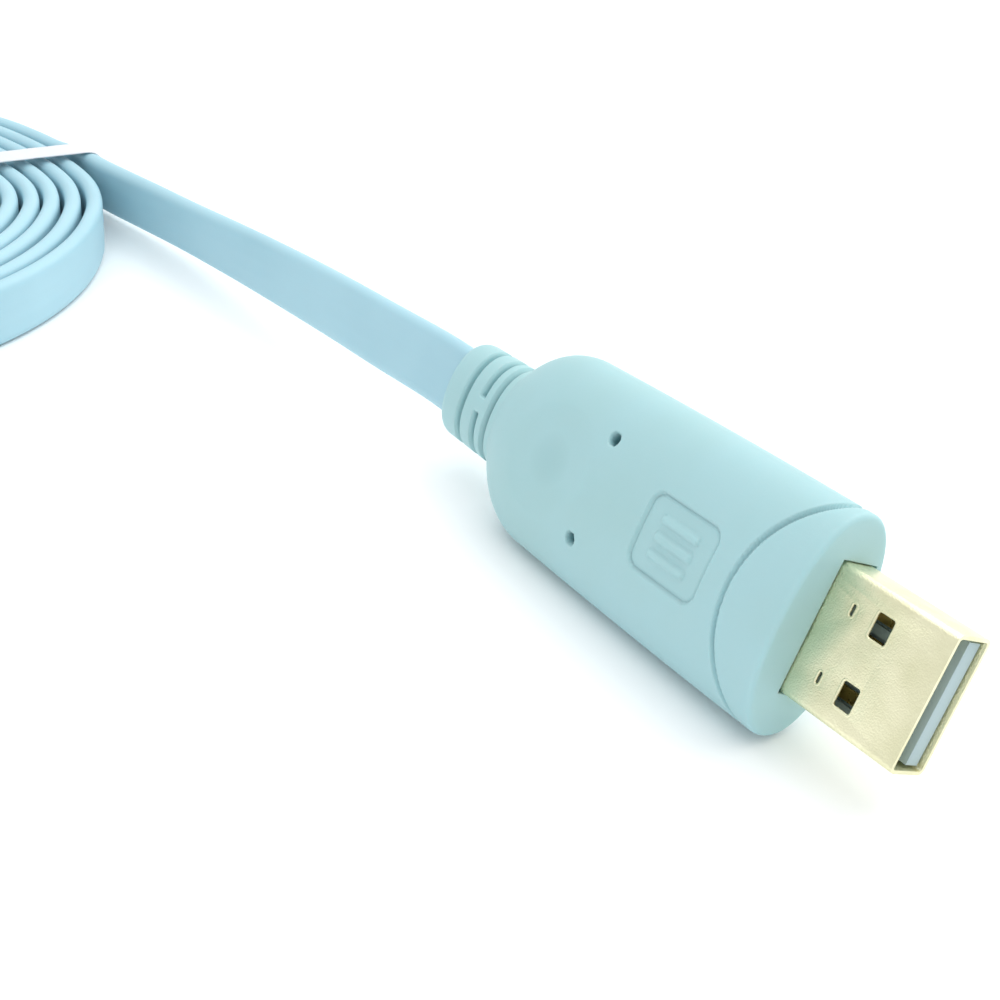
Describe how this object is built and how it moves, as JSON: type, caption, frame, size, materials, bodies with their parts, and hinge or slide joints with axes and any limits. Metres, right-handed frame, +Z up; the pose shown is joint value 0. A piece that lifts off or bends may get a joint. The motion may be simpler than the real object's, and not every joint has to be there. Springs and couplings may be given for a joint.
{
  "type": "rj45 console cable",
  "caption": "Flat pale-blue console cable: a moulded USB plug, the lead wound on edge in a flat coil with a tie, and a clear RJ45 plug.",
  "frame": {"origin": "on the floor, below the middle of the moulded USB plug (housing and shell together)", "axes": "+X along the USB plug, the way it goes in; +Y away from the side that its marked face leans to; +Z up"},
  "size_m": [0.1884, 0.0966, 0.0197],
  "materials": {
    "blue_vinyl": "soft moulded vinyl, satin, finely textured",
    "blue_jacket": "smooth flat-cable jacket, satin",
    "grey_plastic": "moulded insulator, satin",
    "plated_steel": "nickel-plated pressed sheet, softly glossy, with a faint warm tint",
    "gold_contact": "gold-plated contact",
    "clear_plastic": "clear moulded polycarbonate",
    "white_tie": "plain white tie strip"
  },
  "bodies": {
    "root": {"usb_housing": "blue_vinyl", "usb_shell": "plated_steel", "usb_tongue": "grey_plastic", "usb_contact_1": "gold_contact", "usb_contact_2": "gold_contact", "usb_contact_3": "gold_contact", "usb_contact_4": "gold_contact", "cord_lead": "blue_jacket", "cord_coil": "blue_jacket", "cord_tail": "blue_jacket", "coil_tie": "white_tie", "rj45_plug": "clear_plastic", "rj45_contact_1": "gold_contact", "rj45_contact_2": "gold_contact", "rj45_contact_3": "gold_contact", "rj45_contact_4": "gold_contact", "rj45_contact_5": "gold_contact", "rj45_contact_6": "gold_contact", "rj45_contact_7": "gold_contact", "rj45_contact_8": "gold_contact"}
  },
  "joints": []
}
